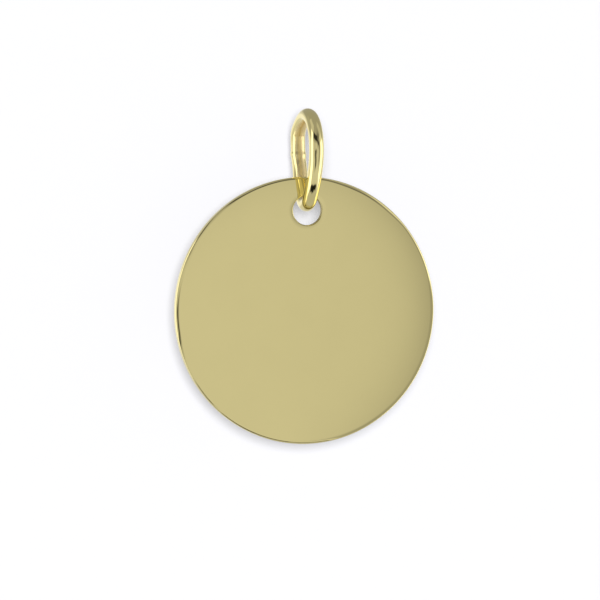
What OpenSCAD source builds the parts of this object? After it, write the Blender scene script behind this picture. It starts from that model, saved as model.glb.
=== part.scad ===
// A plain round disc pendant that hangs by a drilled hole on a closed jump ring.
// The origin is where a chain bears, on the inside of the ring's crown, and the pendant hangs below it.
// +Z is up, the disc's front faces -Y, and the ring stands in the YZ plane, square to the disc.

/* [Disc] */
// Diameter of the disc
disc_d = 18; // [15:0.5:22]
// Thickness of the sheet that the disc is cut from
disc_t = 0.65; // [0.55:0.05:0.75]
// Rounding of the polished rim, front and back
rim_round = 0.1; // [0.05:0.01:0.26]

/* [Hole] */
// Diameter of the drilled hole
hole_d = 2; // [1.8:0.05:2.4]
// Metal left between the hole and the rim
hole_web = 1.25; // [0.9:0.05:2]
// Width of the cone that clears the burr from each end of the hole
hole_deburr = 0.06; // [0.02:0.01:0.1]

/* [Jump ring] */
// Diameter of the round wire
wire_d = 1; // [0.8:0.05:1.1]
// Height of the ring, over the wire
ring_h = 6.95; // [6.5:0.05:8.5]
// Width of the ring's round crown, over the wire
crown_d = 5.6; // [5:0.05:6.3]
// Width of the ring's tighter foot, over the wire
foot_d = 3.1; // [3:0.05:4.2]
// Radius of the ring's long sides, over the wire
side_r = 7.5; // [6:0.5:12]

/* [Hang] */
// Gap between the ring's foot and the edges at the top of the hole
hang_gap = 0.02; // [0.02:0.01:0.06]

/* [Hidden] */
$fn = 96;
gold = "#cbbf89";
pale_gold = "#d9cb8c";

// Radii of the ring's arcs, to the middle of the wire
wire_r = wire_d / 2;
crown_arc_r = crown_d / 2 - wire_r;
foot_arc_r = foot_d / 2 - wire_r;
side_arc_r = side_r - wire_r;

// Heights on the ring: the middle of the wire at the foot, and the centres of the crown and foot arcs
foot_z = wire_d - ring_h + wire_r;
crown_centre_z = wire_r - crown_arc_r;
foot_centre_z = foot_z + foot_arc_r;

// Each long side is an arc that meets the crown's arc and the foot's arc without a corner.
// Its wire is a hair thinner, so that each end slips a little way inside theirs and all four are one solid.
side_wire_r = wire_r - 0.005;
side_overlap = 0.1;
centres_apart = crown_centre_z - foot_centre_z;
side_to_crown = side_arc_r - crown_arc_r;
side_to_foot = side_arc_r - foot_arc_r;
side_above_foot = (centres_apart ^ 2 + side_to_foot ^ 2 - side_to_crown ^ 2) / (2 * centres_apart);
side_offset = sqrt(side_to_foot ^ 2 - side_above_foot ^ 2);
side_centre_z = foot_centre_z + side_above_foot;
crown_join = atan2(crown_centre_z - side_centre_z, side_offset);
foot_join = atan2(foot_centre_z - side_centre_z, side_offset);
side_extra = side_overlap / side_arc_r * 180 / PI;

// The inside of the foot curves up towards both ends of the hole, and the hole's edges stay clear of it
foot_in_r = foot_arc_r - wire_r;
edge_y = disc_t / 2 - hole_deburr;
foot_rise = foot_in_r - sqrt(foot_in_r ^ 2 - edge_y ^ 2);

// Heights on the disc, which hangs with the top of its hole just over the wire
hole_r = hole_d / 2;
hole_z = foot_z + wire_r + foot_rise + hang_gap - hole_r;
disc_z = hole_z + hole_r + hole_web - disc_d / 2;

// Turns a shape drawn about Z so that its axis lies along Y
module face_on() {
    rotate([90, 0, 0]) children();
}

// A round blank with both edges of its rim rounded
module blank() {
    flat_r = disc_d / 2 - rim_round;
    side_half = disc_t / 2 - rim_round;
    rotate_extrude() {
        translate([0, -disc_t / 2]) square([flat_r, disc_t]);
        translate([0, -side_half]) square([disc_d / 2, 2 * side_half]);
        for (side = [-1, 1])
            translate([flat_r, side * side_half]) circle(r = rim_round);
    }
}

// The drilled hole, with a small cone at each end
module drilled_hole() {
    cylinder(r = hole_r, h = 2 * disc_t, center = true);
    for (end = [0, 1])
        mirror([0, 0, end])
            translate([0, 0, disc_t / 2 - hole_deburr])
                cylinder(r1 = hole_r, r2 = hole_r + 2 * hole_deburr, h = 2 * hole_deburr);
}

module disc() {
    color(gold)
        difference() {
            translate([0, 0, disc_z]) face_on() blank();
            translate([0, 0, hole_z]) face_on() drilled_hole();
        }
}

// Round wire bent along an arc, from one angle to the other
module wire_arc(arc_r, from, to, section_r = wire_r) {
    rotate([0, 0, from])
        rotate_extrude(angle = to - from)
            translate([arc_r, 0]) circle(r = section_r);
}

// Drawn in the XY plane, then stood up in the YZ plane
module jump_ring() {
    color(pale_gold)
        rotate([90, 0, 90]) {
            translate([0, crown_centre_z]) wire_arc(crown_arc_r, crown_join, 180 - crown_join);
            translate([0, foot_centre_z]) wire_arc(foot_arc_r, 180 - foot_join, 360 + foot_join);
            for (side = [0, 1])
                mirror([side, 0, 0])
                    translate([-side_offset, side_centre_z])
                        wire_arc(side_arc_r, foot_join - side_extra, crown_join + side_extra, side_wire_r);
        }
}

disc();
jump_ring();
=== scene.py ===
"""Finishes the disc pendant: a mirror-polished gold disc on a closed round-wire jump ring.

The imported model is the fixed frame. Both of its pieces are made again here as smooth polished
metal of the same sizes, because a mirror shows every facet, and a small white studio lights them.
"""

import math

import bmesh
import bpy
from bpy.props import FloatProperty, FloatVectorProperty, IntProperty, PointerProperty
from mathutils import Matrix, Vector


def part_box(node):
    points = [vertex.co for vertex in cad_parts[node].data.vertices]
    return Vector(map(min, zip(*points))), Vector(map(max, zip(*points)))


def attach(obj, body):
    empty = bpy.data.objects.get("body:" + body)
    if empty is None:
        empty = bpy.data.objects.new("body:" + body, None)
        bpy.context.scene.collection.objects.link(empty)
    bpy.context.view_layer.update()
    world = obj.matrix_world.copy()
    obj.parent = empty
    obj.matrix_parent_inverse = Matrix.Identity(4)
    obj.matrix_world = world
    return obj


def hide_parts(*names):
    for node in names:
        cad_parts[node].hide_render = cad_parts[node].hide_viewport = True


bl_info = {
    "name": "Disc Pendant",
    "version": (1, 0, 0),
    "blender": (4, 5, 0),
    "location": "3D View > Sidebar > Pendant",
    "description": "Makes a polished gold disc pendant on its jump ring, and the studio round it",
    "category": "Object",
}

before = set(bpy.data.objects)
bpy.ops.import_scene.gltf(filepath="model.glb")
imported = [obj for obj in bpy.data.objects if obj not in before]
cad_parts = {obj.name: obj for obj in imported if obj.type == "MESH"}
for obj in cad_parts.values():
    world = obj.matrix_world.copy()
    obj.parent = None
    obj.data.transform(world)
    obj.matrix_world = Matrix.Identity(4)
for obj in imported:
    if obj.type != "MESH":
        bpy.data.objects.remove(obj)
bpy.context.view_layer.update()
DISC_LOW, DISC_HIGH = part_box("disc")
RING_LOW, RING_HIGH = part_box("jump_ring")
MM = 0.001
DISC_AXIS = (0, 1, 0)
RING_AXIS = (1, 0, 0)


def linear(hex_colour):
    """A colour written as sRGB hex, as the linear values that shaders read."""
    channels = [int(hex_colour[i : i + 2], 16) / 255 for i in (1, 3, 5)]
    return tuple(c / 12.92 if c <= 0.04045 else ((c + 0.055) / 1.055) ** 2.4 for c in channels)


def length(name, description, default):
    """A length property, in metres."""
    return FloatProperty(
        name=name, description=description, default=default, unit="LENGTH", precision=5
    )


def angle(name, description, degrees):
    """An angle property, given in degrees."""
    return FloatProperty(
        name=name, description=description, default=math.radians(degrees), subtype="ANGLE"
    )


class DiscSettings(bpy.types.PropertyGroup):
    """Sizes of the disc and its hole."""

    diameter: length("Diameter", "Across the disc", DISC_HIGH.x - DISC_LOW.x)
    thickness: length("Thickness", "Of the sheet", DISC_HIGH.y - DISC_LOW.y)
    rim_round: length("Rim round", "Radius of the rim's polished edges", 0.05 * MM)
    worn_band: length("Worn band", "Width at the rim where polishing wore the faces", 5.5 * MM)
    worn_depth: length("Worn depth", "How far each face is worn down at the rim", 0.064 * MM)
    shoulder_band: length("Shoulder", "Width of the buffed shoulder along the rim", 0.26 * MM)
    shoulder_depth: length("Shoulder depth", "How far the shoulder drops at the rim", 0.077 * MM)
    rear_wear: FloatProperty(
        name="Rear wear", description="The rear's wear as a share of the front's",
        default=0.3, min=0.0, max=1.0,
    )
    hole_diameter: length("Hole", "Across the drilled hole", 2.0 * MM)
    hole_web: length("Web", "Metal between the hole and the rim", 1.25 * MM)
    hole_round: length("Hole round", "Radius of the hole's front edge", 0.07 * MM)
    hole_flare: length("Hole flare", "Radius of the hole's rear edge", 0.3 * MM)
    steps: IntProperty(name="Steps", description="Faces round the disc", default=288, min=24)


class RingSettings(bpy.types.PropertyGroup):
    """Sizes of the jump ring."""

    wire: length("Wire", "Thickness of the wire", RING_HIGH.x - RING_LOW.x)
    height: length("Height", "Over the wire", RING_HIGH.z - RING_LOW.z)
    crown: length("Crown", "Width across the round crown", RING_HIGH.y - RING_LOW.y)
    foot: length("Foot", "Width across the tighter foot", 3.1 * MM)
    side_radius: length("Side radius", "Outer radius of the long sides", 7.5 * MM)
    seam_height: length("Seam height", "Where the rear strand is soldered shut", -2.15 * MM)
    seam_length: length("Seam length", "How far the solder spreads along the wire", 0.17 * MM)
    seam_bulge: length("Seam bulge", "How far the filed solder still stands out", 0.04 * MM)
    nick_height: length("Nick height", "Where the pliers marked the rear strand", -0.93 * MM)
    nick_depth: length("Nick depth", "How deep the pliers' mark is", 0.03 * MM)
    nick_length: length("Nick length", "How far the pliers' mark spreads along", 0.09 * MM)
    step: length("Step", "Spacing of the sections along the wire", 0.07 * MM)
    sides: IntProperty(name="Sides", description="Faces round the wire", default=96, min=12)


class GoldSettings(bpy.types.PropertyGroup):
    """Colour and polish of the gold."""

    colour: FloatVectorProperty(
        name="Gold", description="Colour of polished 14 carat gold", subtype="COLOR",
        size=3, min=0.0, max=1.0, default=linear("#F8EAA8"),
    )
    roughness: FloatProperty(
        name="Roughness", description="Blur that the polish leaves", default=0.04, min=0.0, max=1.0
    )
    # Painted shade: the hole's wall takes a darker gold, standing in for the shadow behind the disc
    # that the wall would mirror.
    drilled: FloatVectorProperty(
        name="Drilled gold, painted shade", description="Colour of the hole's unpolished wall, with painted shade", subtype="COLOR",
        size=3, min=0.0, max=1.0, default=linear("#B4A97C"),
    )
    # Painted reflection: the ring's inside takes a warmer gold, standing in for the gold that it
    # faces and mirrors.
    brushed_and_reflection: FloatVectorProperty(
        name="Brushed gold, painted reflection", description="Colour inside the ring, warmer as painted reflection", subtype="COLOR",
        size=3, min=0.0, max=1.0, default=linear("#FFE9AC"),
    )
    dull_roughness: FloatProperty(
        name="Dull roughness", description="Blur added where no wheel reaches",
        default=0.42, min=0.0, max=1.0,
    )


class StageSettings(bpy.types.PropertyGroup):
    """Camera, floor, white card and lamp."""

    azimuth: angle("Azimuth", "Where the camera stands round the pendant", -15.4)
    elevation: angle("Elevation", "How far up the camera stands", 2.45)
    roll: angle("Roll", "How far the camera leans to its left", 0.9)
    distance: length("Distance", "From the camera to the disc", 300 * MM)
    field: length("Field", "Width that the picture takes in at the disc", 40.4 * MM)
    aim_right: length("Aim right", "Picture's centre from the disc's centre", -0.318 * MM)
    aim_up: length("Aim up", "Picture's centre from the disc's centre", 0.703 * MM)
    floor_drop: length("Floor drop", "From where the ring hangs down to the floor", 80 * MM)
    floor_size: length("Floor size", "Across the round white floor", 700 * MM)
    card_gap: length("Card gap", "From the disc's middle back to the white card", 3.7 * MM)
    card_size: length("Card size", "Across the white card", 130 * MM)
    card_glow: FloatProperty(
        name="Card glow", description="Brightness of the card in full shadow", default=0.39, min=0.0
    )
    lamp_azimuth: angle("Lamp azimuth", "Where the lamp stands that lights the card", -12.5)
    lamp_elevation: angle("Lamp elevation", "How far up that lamp stands", 6.2)
    lamp_width: angle("Lamp width", "How wide the lamp looks from the pendant", 18)
    lamp_strength: FloatProperty(
        name="Lamp strength", description="Brightness of the lamp", default=11.5, min=0.0
    )


class PendantSettings(bpy.types.PropertyGroup):
    """Everything that can be changed on the pendant and its stage."""

    disc: PointerProperty(type=DiscSettings)
    ring: PointerProperty(type=RingSettings)
    gold: PointerProperty(type=GoldSettings)
    stage: PointerProperty(type=StageSettings)


# Sockets of a Mix node: its share, the two numbers or the two colours that it mixes, and the
# colour that comes of it.
MIX_SHARE, MIX_A, MIX_B = 0, 2, 3
MIX_COLOUR_A, MIX_COLOUR_B, MIXED_COLOUR = 6, 7, 2


def add_node(tree, kind, inputs=(), **settings):
    """Adds a node with its settings, and fills or links the named or numbered inputs."""
    node = tree.nodes.new(kind)
    for name, value in settings.items():
        setattr(node, name, value)
    for key, value in dict(inputs).items():
        if isinstance(value, bpy.types.NodeSocket):
            tree.links.new(value, node.inputs[key])
        else:
            node.inputs[key].default_value = value
    return node


# Buffing leaves a haze in clouds: the noise where a cloud starts and where it is full, the blur
# there as shares of the polish's own, and the share of the colour that is left in a full cloud.
CLOUD_START, CLOUD_FULL = 0.3, 0.7
BLUR_START, BLUR_FULL = 0.7, 1.5
COLOUR_FULL = 0.965
# Under the polish lie soft ripples: how deep they are, how many there are to a cloud, how strongly
# they show on the polish, and how much more strongly where the gold is dull.
RIPPLE_DEPTH = 0.04 * MM
RIPPLES_PER_CLOUD = 0.6
RIPPLE_POLISHED, RIPPLE_DULL = 0.02, 0.5


def polished_gold(name, gold, painted_light_colour, grain_mm, seed):
    """14 carat yellow gold, buffed to a mirror.

    The eye gets its pale yellow only from what it mirrors. The buffing leaves a faint haze that is
    a little wider in places. Where the wheel hardly reaches, which each piece marks with a mask,
    the gold is hazy and uneven. Its colour there goes over to the one given for those places, which
    is painted light: painted shade on the hole's wall, and a warmer painted reflection inside the
    ring.
    """
    # Each cloud is about as wide as grain_mm.
    clouds_per_metre = 1 / (grain_mm * MM)
    material = bpy.data.materials.new(name)
    material.use_nodes = True
    tree = material.node_tree
    tree.nodes.clear()
    # The mask marks unpolished places, where the gold is blurred and its colour carries painted
    # light.
    dull_and_painted_light = add_node(tree, "ShaderNodeAttribute", attribute_name="dull_and_painted_light").outputs["Fac"]
    place = add_node(tree, "ShaderNodeTexCoord").outputs["Object"]
    moved = add_node(tree, "ShaderNodeMapping", {"Vector": place, "Location": (seed, 0, 0)})
    cloud = add_node(
        tree, "ShaderNodeTexNoise",
        {
            "Vector": moved.outputs[0],
            "Scale": clouds_per_metre,
            "Detail": 4.0,
            "Roughness": 0.6,
        },
    )
    haze = add_node(
        tree, "ShaderNodeMapRange",
        {
            "Value": cloud.outputs[0],
            "From Min": CLOUD_START,
            "From Max": CLOUD_FULL,
            "To Min": gold.roughness * BLUR_START,
            "To Max": gold.roughness * BLUR_FULL,
        },
    )
    blur = add_node(
        tree, "ShaderNodeMath",
        {0: dull_and_painted_light, 1: gold.dull_roughness, 2: haze.outputs[0]}, operation="MULTIPLY_ADD",
    )
    tint = add_node(
        tree, "ShaderNodeMix",
        {
            MIX_SHARE: cloud.outputs[0],
            MIX_COLOUR_A: (*gold.colour, 1.0),
            MIX_COLOUR_B: (*(c * COLOUR_FULL for c in gold.colour), 1.0),
        },
        data_type="RGBA",
    )
    # Painted light: where masked, the colour goes over to painted shade on the hole's wall or a
    # warmer painted reflection inside the ring.
    with_painted_light = add_node(
        tree, "ShaderNodeMix",
        {
            MIX_SHARE: dull_and_painted_light,
            MIX_COLOUR_A: tint.outputs[MIXED_COLOUR],
            MIX_COLOUR_B: (*painted_light_colour, 1.0),
        },
        data_type="RGBA",
    )
    ripple = add_node(
        tree, "ShaderNodeTexNoise",
        {
            "Vector": moved.outputs[0],
            "Scale": RIPPLES_PER_CLOUD * clouds_per_metre,
            "Detail": 2.0,
        },
    )
    uneven = add_node(
        tree, "ShaderNodeMath",
        {0: dull_and_painted_light, 1: RIPPLE_DULL, 2: RIPPLE_POLISHED}, operation="MULTIPLY_ADD",
    )
    bump = add_node(
        tree, "ShaderNodeBump",
        {"Height": ripple.outputs[0], "Strength": uneven.outputs[0], "Distance": RIPPLE_DEPTH},
    )
    shader = add_node(
        tree, "ShaderNodeBsdfPrincipled",
        {
            "Base Color": with_painted_light.outputs[MIXED_COLOUR],
            "Metallic": 1.0,
            "Roughness": blur.outputs[0],
            "Normal": bump.outputs[0],
        },
    )
    add_node(tree, "ShaderNodeOutputMaterial", {0: shader.outputs[0]})
    return material


def finish_piece(bm, name, body, node, material):
    """Closes and smooths a bmesh, and puts it in the place of a CAD node."""
    bmesh.ops.remove_doubles(bm, verts=bm.verts, dist=0.0001 * MM)
    bmesh.ops.recalc_face_normals(bm, faces=bm.faces)
    if any(not edge.is_manifold for edge in bm.edges):
        raise RuntimeError(f"{name} is not closed")
    for face in bm.faces:
        face.smooth = True
    mesh = bpy.data.meshes.new(name)
    bm.to_mesh(mesh)
    bm.free()
    mesh.materials.append(material)
    piece = bpy.data.objects.new(name, mesh)
    bpy.context.scene.collection.objects.link(piece)
    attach(piece, body)
    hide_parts(node)


# An uneven buffed shoulder: clock angle in degrees, share of the shoulder's depth, and share of its
# width. The shares were chosen to match the photograph's rim. They are a fit to its light and dark,
# not a measured shape, and uneven buffing is only a guess at the cause.
SHOULDER = (
    (0, 0.7, 0.65), (9, 0.9, 0.65), (16, 1.2, 0.9), (21, 1.0, 1.0), (32, 0.95, 1.0), (41, 1.1, 1.0),
    (50, 0.6, 0.65), (74, 0.6, 0.65), (80, 0.4, 0.85), (86, 0.2, 1.0), (134, 0.2, 1.0),
    (146, 0.5, 1.0), (164, 0.5, 1.0), (171, 1.3, 0.9), (218, 1.4, 1.0), (226, 0.6, 0.65),
    (236, 0.55, 0.75), (242, 0.25, 1.0), (248, 0.3, 1.0), (255, 0.6, 0.9), (260, 1.3, 1.0),
    (272, 1.1, 1.0), (280, 1.1, 1.0), (290, 1.5, 1.0), (297, 1.7, 1.0), (303, 1.0, 0.65),
    (313, 0.5, 0.75), (320, 0.25, 0.75), (326, 0.7, 0.65), (332, 1.0, 0.65), (345, 1.0, 0.65),
    (351, 0.7, 0.65), (360, 0.7, 0.65),
)


def wear(disc, centre, place):
    """How much of the half thickness is gone at a place: buffing takes most off the rim."""
    out = place - centre
    inside = disc.diameter / 2 - math.hypot(out.x, out.z)
    worn = max(0.0, 1 - inside / disc.worn_band)
    clock = math.degrees(math.atan2(out.x, out.z)) % 360
    low, high = next(pair for pair in zip(SHOULDER, SHOULDER[1:]) if clock <= pair[1][0])
    part = (clock - low[0]) / (high[0] - low[0])
    deep, wide = (a + (b - a) * part for a, b in zip(low[1:], high[1:]))
    shoulder = max(0.0, 1 - inside / (disc.shoulder_band * wide))
    depth = disc.worn_depth * worn**4 + disc.shoulder_depth * deep * shoulder**2
    return depth if place.y < centre.y else depth * disc.rear_wear


# The disc's mesh has a band of rings at the rim, a plain band round the hole, and wider rings from
# one to the other. The closest rings start CLEAR times the shoulder's width in from the rim, and
# end CLEAR times the radius of the rim's edge in from it.
RIM_BAND, HOLE_BAND = 0.7 * MM, 0.33 * MM
RIM_RINGS, SHOULDER_RINGS, FACE_RINGS = 6, 12, 40
CLEAR = 1.1
# How far the drilled wall's dullness and its painted shade reach from its surface.
DULL_AND_SHADE_WALL = 0.02 * MM
# Points of the disc that are closer than this are one point.
NEAR = 0.001 * MM


def spin_band(bm, centre, radii, half, steps):
    """A flat round band through these radii, open at the first one and walled at the last."""
    front = [bm.verts.new(centre + Vector((r, -half, 0))) for r in radii]
    rear = [bm.verts.new(centre + Vector((r, half, 0))) for r in reversed(radii)]
    profile = [bm.edges.new(pair) for pair in zip(front + rear, (front + rear)[1:])]
    bmesh.ops.spin(
        bm, geom=front + rear + profile, cent=centre, axis=DISC_AXIS,
        angle=2 * math.pi, steps=steps, use_merge=True,
    )


def edges_at(bm, centre, radius, y):
    """The round edges at a radius on the face that lies at y."""
    return [
        edge for edge in bm.edges
        if all(
            abs(math.hypot(v.co.x - centre.x, v.co.z - centre.z) - radius) < NEAR
            and abs(v.co.y - y) < NEAR
            for v in edge.verts
        )
    ]


def fill_face(bm, hole, outer, centre, inner, y):
    """Fills the face at y from the hole's band to the rim's, in rings whose centre shifts."""
    loop = edges_at(bm, hole, outer, y)
    at, size = hole, outer
    for k in range(FACE_RINGS):
        part = (k + 1) / FACE_RINGS
        to, to_size = hole.lerp(centre, part), outer + (inner - outer) * part
        grown = bmesh.ops.extrude_edge_only(bm, edges=loop)["geom"]
        verts = [g for g in grown if isinstance(g, bmesh.types.BMVert)]
        loop = [
            g for g in grown
            if isinstance(g, bmesh.types.BMEdge) and all(v in verts for v in g.verts)
        ]
        grow = to_size / size
        bmesh.ops.scale(bm, verts=verts, vec=(grow, 1, grow), space=Matrix.Translation(-at))
        bmesh.ops.translate(bm, verts=verts, vec=to - at)
        at, size = to, to_size


def round_edges(bm, disc, centre, hole):
    """Rounds both edges of the rim and of the hole."""
    radius, half, hole_radius = disc.diameter / 2, disc.thickness / 2, disc.hole_diameter / 2
    rim = edges_at(bm, centre, radius, -half) + edges_at(bm, centre, radius, half)
    for edges, offset, segments in (
        (rim, disc.rim_round, 10),
        (edges_at(bm, hole, hole_radius, -half), disc.hole_round, 6),
        (edges_at(bm, hole, hole_radius, half), disc.hole_flare, 8),
    ):
        bmesh.ops.bevel(
            bm, geom=edges, offset=offset, offset_type="OFFSET", segments=segments,
            profile=0.5, affect="EDGES", material=-1,
        )


class PENDANT_OT_disc(bpy.types.Operator):
    """Make the disc: polished sheet with a worn rim and a drilled hole"""

    bl_idname = "pendant.disc"
    bl_label = "Disc"

    def execute(self, context):
        settings = context.scene.pendant
        disc = settings.disc
        centre = (DISC_LOW + DISC_HIGH) / 2
        radius, half = disc.diameter / 2, disc.thickness / 2
        hole_radius = disc.hole_diameter / 2
        hole = centre + Vector((0, 0, radius - disc.hole_web - hole_radius))

        # The rim and the hole's wall are each a band spun round their own centre.
        inner, outer = radius - RIM_BAND, hole_radius + HOLE_BAND
        shoulder = radius - CLEAR * disc.shoulder_band
        edge = radius - CLEAR * disc.rim_round
        radii = [inner + (shoulder - inner) * k / RIM_RINGS for k in range(RIM_RINGS)]
        radii += [
            shoulder + (edge - shoulder) * k / SHOULDER_RINGS for k in range(SHOULDER_RINGS + 1)
        ]
        bm = bmesh.new()
        spin_band(bm, centre, [*radii, radius], half, disc.steps)
        spin_band(bm, hole, [outer, hole_radius], half, disc.steps)
        for y in (-half, half):
            fill_face(bm, hole, outer, centre, inner, y)
        bmesh.ops.remove_doubles(bm, verts=bm.verts, dist=NEAR)
        round_edges(bm, disc, centre, hole)
        for vert in bm.verts:
            vert.co.y *= 1 - wear(disc, centre, vert.co) / half

        gold = settings.gold
        name = "Yellow gold 14 ct sheet, mirror polished"
        material = polished_gold(name, gold, gold.drilled, grain_mm=3.0, seed=0.0)
        # The buffing wheel doesn't reach the drilled wall, which stays dull. Its darker colour is
        # painted shade, standing in for the shadow behind the disc that the wall would mirror.
        wall = hole_radius + DULL_AND_SHADE_WALL
        dull_and_painted_light = bm.verts.layers.float.new("dull_and_painted_light")
        for vert in bm.verts:
            vert[dull_and_painted_light] = float(math.hypot(vert.co.x - hole.x, vert.co.z - hole.z) < wall)
        finish_piece(bm, "polished_disc", "disc", "disc", material)
        return {"FINISHED"}


# A ring bent by hand isn't quite flat: height of each bend, how far it reaches along the wire,
# how far it goes to the right, all in millimetres, and whether it is on the rear strand.
BENDS = ((-0.6, 0.8, -0.1, True), (-3.1, 0.7, 0.05, True), (-3.2, 1.2, 0.03, False))

# How squarely the ring's inside has to face the middle of the eye before the wheel misses it, and
# over how much more it turns fully dull and fully takes the warmer gold of painted reflection.
DULL_AND_REFLECTION_FROM, DULL_AND_REFLECTION_OVER = 0.4, 0.4


def ring_arcs(ring):
    """The four arcs along the middle of the wire: centre, first and last angle, and radius.

    The angles lie in the ring's plane, from +Y towards +Z. The arcs are the crown, the front
    strand, the foot and the rear strand.
    """
    wire = ring.wire / 2
    crown, foot, side = ring.crown / 2 - wire, ring.foot / 2 - wire, ring.side_radius - wire
    crown_z = RING_HIGH.z - wire - crown
    foot_z = RING_HIGH.z - ring.height + wire + foot
    # A side's centre is side - crown from the crown's, and side - foot from the foot's.
    to_crown, to_foot, apart = side - crown, side - foot, crown_z - foot_z
    above_foot = (to_foot**2 - to_crown**2 + apart**2) / (2 * apart)
    offset = math.sqrt(to_foot**2 - above_foot**2)
    side_z = foot_z + above_foot
    crown_join = math.atan2(crown_z - side_z, offset)
    foot_join = math.atan2(foot_z - side_z, offset)
    return (
        (Vector((0, 0, crown_z)), crown_join, math.pi - crown_join, crown),
        (Vector((0, offset, side_z)), math.pi - crown_join, math.pi - foot_join, side),
        (Vector((0, 0, foot_z)), math.pi - foot_join, 2 * math.pi + foot_join, foot),
        (Vector((0, -offset, side_z)), foot_join, crown_join, side),
    )


def sweep_wire(bm, arcs, ring):
    """Sweeps the round section of the wire along the arcs, back to where it starts."""
    centre, begin, _, arc_radius = arcs[0]
    start = centre + Vector((0, math.cos(begin), math.sin(begin))) * arc_radius
    section = bmesh.ops.create_circle(bm, segments=ring.sides, radius=ring.wire / 2)
    bmesh.ops.transform(
        bm, verts=section["verts"],
        matrix=Matrix.Translation(start) @ Matrix.Rotation(begin, 4, "X"),
    )
    last = section["verts"] + bm.edges[:]
    for centre, begin, end, arc_radius in arcs:
        steps = max(4, round((end - begin) * arc_radius / ring.step))
        swept = bmesh.ops.spin(
            bm, geom=last, cent=centre, axis=RING_AXIS, angle=end - begin, steps=steps
        )
        last = swept["geom_last"]
    bmesh.ops.remove_doubles(bm, verts=bm.verts, dist=0.0005 * MM)


def mark_rear_strand(bm, arcs, ring):
    """Marks the rear strand's inside as unpolished and as the place of a painted reflection, and
    gives the strand its seam and its nick.

    The wheel only brushes the inside. The rear strand was cut and soldered, and the filed seam
    bulges a little.
    """
    bmesh.ops.recalc_face_normals(bm, faces=bm.faces)
    bm.normal_update()
    dull_and_painted_light = bm.verts.layers.float.new("dull_and_painted_light")
    middle = (arcs[0][0] + arcs[2][0]) / 2
    side_centre, _, _, side_radius = arcs[3]
    for vert in bm.verts:
        if vert.co.y <= 0:
            continue
        inward = vert.normal.dot((middle - vert.co).normalized())
        vert[dull_and_painted_light] = min(1.0, max(0.0, (inward - DULL_AND_REFLECTION_FROM) / DULL_AND_REFLECTION_OVER))
        seam = (vert.co.z - ring.seam_height) / ring.seam_length
        nick = (vert.co.z - ring.nick_height) / ring.nick_length
        turn = Vector((0, vert.co.y - side_centre.y, vert.co.z - side_centre.z)).normalized()
        strand = side_centre + turn * side_radius
        rise = ring.seam_bulge * math.exp(-seam**2)
        rise -= ring.nick_depth * vert[dull_and_painted_light] * math.exp(-nick**2)
        vert.co += (vert.co - strand).normalized() * rise


def bend_by_hand(bm):
    """Bends the strands a little out of the ring's plane."""
    # A bend fades away over this much of the ring's width, towards the other strand.
    fade = 2 * MM
    for vert in bm.verts:
        for height, reach, shift, rear in BENDS:
            share = min(1.0, max(0.0, 0.5 + (vert.co.y if rear else -vert.co.y) / fade))
            along = (vert.co.z - height * MM) / (reach * MM)
            vert.co.x += shift * MM * share * math.exp(-along**2)


class PENDANT_OT_jump_ring(bpy.types.Operator):
    """Make the closed jump ring: round wire bent to a pear"""

    bl_idname = "pendant.jump_ring"
    bl_label = "Jump Ring"

    def execute(self, context):
        settings = context.scene.pendant
        ring, gold = settings.ring, settings.gold
        arcs = ring_arcs(ring)
        bm = bmesh.new()
        sweep_wire(bm, arcs, ring)
        mark_rear_strand(bm, arcs, ring)
        bend_by_hand(bm)
        name = "Yellow gold 14 ct wire, polished"
        # The ring's inside takes a warmer gold: a painted reflection of the gold that it faces.
        material = polished_gold(name, gold, gold.brushed_and_reflection, grain_mm=0.8, seed=5.0)
        finish_piece(bm, "polished_jump_ring", "ring", "jump_ring", material)
        return {"FINISHED"}


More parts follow.
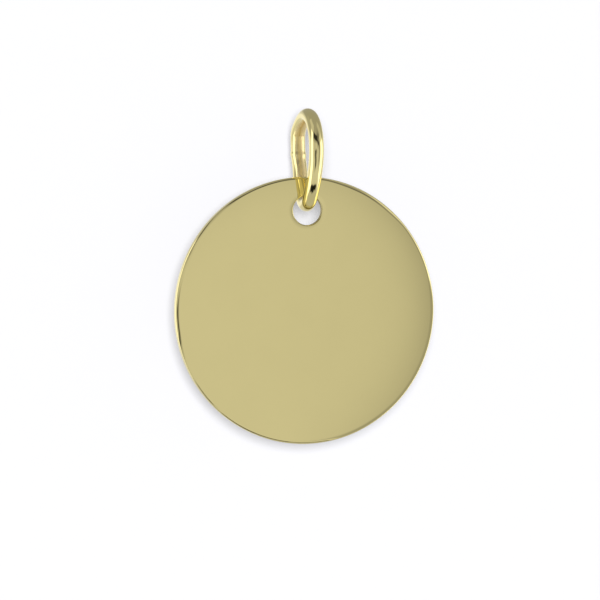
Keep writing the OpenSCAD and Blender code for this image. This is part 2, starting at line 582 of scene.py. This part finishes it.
# The white tent round the pendant: panels and gaps by the direction they lie in, where a later one
# hangs over those before it. They were placed to give the reflections in the photograph, so what
# each one is called is a guess, and so is all of the tent that the gold doesn't mirror there. Each
# has its name, its azimuth, elevation, half width and half height, how far it leans to the left and
# the width of its soft edge, all in degrees, and its brightness where white paper is 1. Azimuth 0
# faces the disc, and 90 is to its right.
TENT = (
    ("horizon behind", 180, -1, 55, 9, 0, 8, 1.0),
    ("horizon behind, across the seam", -180, -1, 55, 9, 0, 8, 1.0),
    ("ceiling", 0, 60, 190, 43, 0, 12, 0.37),
    ("table", 0, -66, 190, 25, 0, 12, 0.5),
    ("front paper", -5, -12, 64, 44, 0, 16, 0.64),
    ("table in front", -2, -44, 60, 7, 0, 8, 0.66),
    ("above the left softbox", -87, 50, 32, 15, 0, 10, 0.6),
    ("left of the front", -42, 4, 22, 22, 0, 14, 0.56),
    ("above the right softbox", 62, 46, 24, 21, 0, 14, 0.54),
    ("upper front", 20, 32, 24, 23, 0, 24, 0.3),
    ("right of the opening", 59, 24, 19, 9, 0, 8, 0.78),
    ("under the opening", -36, 25, 32, 6, 0, 8, 0.38),
    ("front fold", 30, -8, 10, 24, 0, 12, 0.36),
    ("slit in the tent", 15, 20, 16, 6, 22, 6, 0.09),
    ("foot of the slit", 28, 8, 6, 6, 0, 7, 0.25),
    ("beside the opening", 16, 38, 20, 8, 0, 10, 0.2),
    ("opening over the camera", -26, 33.5, 34, 8.5, 4, 6, 0.03),
    ("camera", -18, -4, 12, 6, 0, 8, 0.3),
    ("beside the tripod", -26, -22, 13, 16, -16, 10, 0.36),
    ("tripod", -25, -19, 7, 19, -16, 5, 0.02),
    ("table edge, left", -38, -56.5, 27, 4.5, 14, 3, 0.02),
    ("table edge, middle", -2, -61, 24, 4.5, 0, 3, 0.01),
    ("table edge, right", 33, -56.5, 24, 3.4, -9, 3, 0.02),
    ("left softbox", -88, -4, 18, 39, 0, 6, 1.6),
    ("under the left softbox", -110, -48, 20, 8, 0, 8, 0.55),
    ("left of the left softbox", -118, 28, 22, 15, 0, 10, 0.42),
    ("right softbox", 71.5, -11, 21, 29, 0, 7, 1.6),
    ("right of the right softbox, high", 108, 24, 18, 11, 0, 9, 0.42),
    ("right of the right softbox, low", 110, -34, 20, 10, 0, 9, 0.5),
)


# Brightness of the tent's paper where no panel or gap is listed.
TENT_PAPER = 0.7


def hang_panel(tree, chart, panel, level):
    """Hangs one panel over what is there so far, and gives the brightness that comes of it."""
    _, az, el, wide, high, lean, soft, bright = panel
    from_panel = add_node(
        tree, "ShaderNodeMapping",
        {
            "Vector": chart,
            "Location": (math.radians(az), math.radians(el), 0),
            "Rotation": (0, 0, math.radians(-lean)),
        },
        vector_type="TEXTURE",
    )
    away = add_node(tree, "ShaderNodeVectorMath", {0: from_panel.outputs[0]}, operation="ABSOLUTE")
    sides = add_node(tree, "ShaderNodeSeparateXYZ", {0: away.outputs[0]})
    inside = [
        add_node(
            tree, "ShaderNodeMapRange",
            {
                "Value": sides.outputs[k],
                "From Min": math.radians(half + soft / 2),
                "From Max": math.radians(half - soft / 2),
            },
            interpolation_type="SMOOTHSTEP",
        )
        for k, half in enumerate((wide, high))
    ]
    both = add_node(
        tree, "ShaderNodeMath", {0: inside[0].outputs[0], 1: inside[1].outputs[0]},
        operation="MULTIPLY",
    )
    hung = add_node(
        tree, "ShaderNodeMix", {MIX_SHARE: both.outputs[0], MIX_A: level, MIX_B: bright}
    )
    return hung.outputs[0]


def light_tent(scene):
    """Lights the scene with the tent, which is plain white where the camera sees it."""
    world = bpy.data.worlds.new("White tent")
    world.use_nodes = True
    scene.world = world
    tree = world.node_tree
    tree.nodes.clear()
    way = add_node(
        tree, "ShaderNodeSeparateXYZ",
        {0: add_node(tree, "ShaderNodeTexCoord").outputs["Generated"]},
    )
    forward = add_node(tree, "ShaderNodeMath", {0: way.outputs[1], 1: -1.0}, operation="MULTIPLY")
    azimuth = add_node(
        tree, "ShaderNodeMath", {0: way.outputs[0], 1: forward.outputs[0]}, operation="ARCTAN2"
    )
    elevation = add_node(tree, "ShaderNodeMath", {0: way.outputs[2]}, operation="ARCSINE")
    chart = add_node(
        tree, "ShaderNodeCombineXYZ", {0: azimuth.outputs[0], 1: elevation.outputs[0]}
    )
    level = TENT_PAPER
    for panel in TENT:
        level = hang_panel(tree, chart.outputs[0], panel, level)
    seen = add_node(tree, "ShaderNodeLightPath")
    shown = add_node(
        tree, "ShaderNodeMix",
        {MIX_SHARE: seen.outputs["Is Camera Ray"], MIX_A: level, MIX_B: 1.0},
    )
    light = add_node(
        tree, "ShaderNodeBackground", {"Color": (1, 1, 1, 1), "Strength": shown.outputs[0]}
    )
    add_node(tree, "ShaderNodeOutputWorld", {0: light.outputs[0]})


def white_card():
    """Matt white card, which the soft light turns an even pale grey."""
    material = bpy.data.materials.new("White card")
    material.use_nodes = True
    shader = material.node_tree.nodes["Principled BSDF"]
    shader.inputs["Base Color"].default_value = (*linear("#F4F4F2"), 1.0)
    shader.inputs["Roughness"].default_value = 0.8
    return material


def translucent_card(glow):
    """Translucent white card, lit from behind too, so that a shadow on it is pale and soft.

    It shows only from the front.
    """
    material = bpy.data.materials.new("Translucent white card")
    material.use_nodes = True
    tree = material.node_tree
    tree.nodes.clear()
    matt = add_node(tree, "ShaderNodeBsdfDiffuse", {"Color": (*linear("#6C6C6E"), 1.0)})
    shine = add_node(
        tree, "ShaderNodeEmission", {"Color": (*linear("#FBFBFF"), 1.0), "Strength": glow}
    )
    lit = add_node(tree, "ShaderNodeAddShader", {0: matt.outputs[0], 1: shine.outputs[0]})
    one_sided = add_node(
        tree, "ShaderNodeMixShader",
        {
            0: add_node(tree, "ShaderNodeNewGeometry").outputs["Backfacing"],
            1: lit.outputs[0],
            2: add_node(tree, "ShaderNodeBsdfTransparent").outputs[0],
        },
    )
    add_node(tree, "ShaderNodeOutputMaterial", {0: one_sided.outputs[0]})
    return material


def put_on_stage(scene, bm, name, material):
    """Makes a bmesh a piece of the stage, which the gold doesn't mirror: it mirrors the tent."""
    mesh = bpy.data.meshes.new(name)
    bm.to_mesh(mesh)
    bm.free()
    mesh.materials.append(material)
    piece = bpy.data.objects.new(name, mesh)
    piece.visible_glossy = False
    scene.collection.objects.link(piece)


def lay_floor(scene, stage):
    """Lays a plain round of white card, far enough down to stay out of the picture."""
    bm = bmesh.new()
    bmesh.ops.create_circle(bm, cap_ends=True, segments=96, radius=stage.floor_size / 2)
    bmesh.ops.translate(bm, verts=bm.verts, vec=(0, 0, -stage.floor_drop))
    put_on_stage(scene, bm, "floor", white_card())


def hang_card(scene, stage, middle):
    """Hangs a translucent card just behind the ring, where it takes the pendant's shadow."""
    bm = bmesh.new()
    bmesh.ops.create_grid(bm, x_segments=1, y_segments=1, size=stage.card_size / 2)
    bmesh.ops.rotate(bm, verts=bm.verts, matrix=Matrix.Rotation(math.pi / 2, 3, "X"))
    bmesh.ops.translate(bm, verts=bm.verts, vec=middle + Vector((0, stage.card_gap, 0)))
    put_on_stage(scene, bm, "card", translucent_card(stage.card_glow))


def toward(azimuth, elevation):
    """The direction of a place at this azimuth and elevation, as TENT counts them."""
    return Vector((
        math.sin(azimuth) * math.cos(elevation),
        -math.cos(azimuth) * math.cos(elevation),
        math.sin(elevation),
    ))


def set_lamp(scene, stage):
    """Sets a broad lamp near the camera, to throw the pendant's soft shadow on the card."""
    lamp_data = bpy.data.lights.new("lamp", "SUN")
    lamp_data.energy = stage.lamp_strength
    lamp_data.angle = stage.lamp_width
    lamp = bpy.data.objects.new("lamp", lamp_data)
    lamp.visible_glossy = False
    shine = -toward(stage.lamp_azimuth, stage.lamp_elevation)
    lamp.matrix_world = shine.to_track_quat("-Z", "Y").to_matrix().to_4x4()
    scene.collection.objects.link(lamp)


def set_camera(scene, stage, middle):
    """Sets a camera with a long lens, which looks at the disc as the photograph does."""
    camera = bpy.data.objects.new("camera", bpy.data.cameras.new("camera"))
    scene.collection.objects.link(camera)
    back = toward(stage.azimuth, stage.elevation)
    turn = Matrix.Rotation(stage.roll, 3, back) @ (-back).to_track_quat("-Z", "Y").to_matrix()
    aim = middle + turn @ Vector((stage.aim_right, stage.aim_up, 0))
    camera.matrix_world = Matrix.Translation(aim + back * stage.distance) @ turn.to_4x4()
    camera.data.sensor_width = 36.0
    camera.data.lens = camera.data.sensor_width * stage.distance / stage.field
    camera.data.clip_start = 1 * MM
    camera.data.clip_end = 10.0
    scene.camera = camera


class PENDANT_OT_stage(bpy.types.Operator):
    """Make the stage: white tent, pale floor, card, lamp and camera"""

    bl_idname = "pendant.stage"
    bl_label = "Stage"

    def execute(self, context):
        scene = context.scene
        stage = scene.pendant.stage
        middle = (DISC_LOW + DISC_HIGH) / 2
        scene.view_settings.view_transform = "Standard"
        light_tent(scene)
        lay_floor(scene, stage)
        hang_card(scene, stage, middle)
        set_lamp(scene, stage)
        set_camera(scene, stage, middle)
        return {"FINISHED"}


class PENDANT_PT_panel(bpy.types.Panel):
    """Lists the pendant's makers and sizes"""

    bl_label = "Disc Pendant"
    bl_idname = "PENDANT_PT_panel"
    bl_space_type = "VIEW_3D"
    bl_region_type = "UI"
    bl_category = "Pendant"

    def draw(self, context):
        settings = context.scene.pendant
        for maker, group in (
            ("pendant.disc", settings.disc),
            ("pendant.jump_ring", settings.ring),
            (None, settings.gold),
            ("pendant.stage", settings.stage),
        ):
            box = self.layout.box()
            if maker:
                box.operator(maker)
            for name in group.__annotations__:
                box.prop(group, name)


CLASSES = (
    DiscSettings,
    RingSettings,
    GoldSettings,
    StageSettings,
    PendantSettings,
    PENDANT_OT_disc,
    PENDANT_OT_jump_ring,
    PENDANT_OT_stage,
    PENDANT_PT_panel,
)


def register():
    for cls in CLASSES:
        bpy.utils.register_class(cls)
    bpy.types.Scene.pendant = PointerProperty(type=PendantSettings)


def unregister():
    del bpy.types.Scene.pendant
    for cls in reversed(CLASSES):
        bpy.utils.unregister_class(cls)


def main():
    register()
    bpy.ops.pendant.disc()
    bpy.ops.pendant.jump_ring()
    bpy.ops.pendant.stage()


if __name__ == "__main__":
    main()
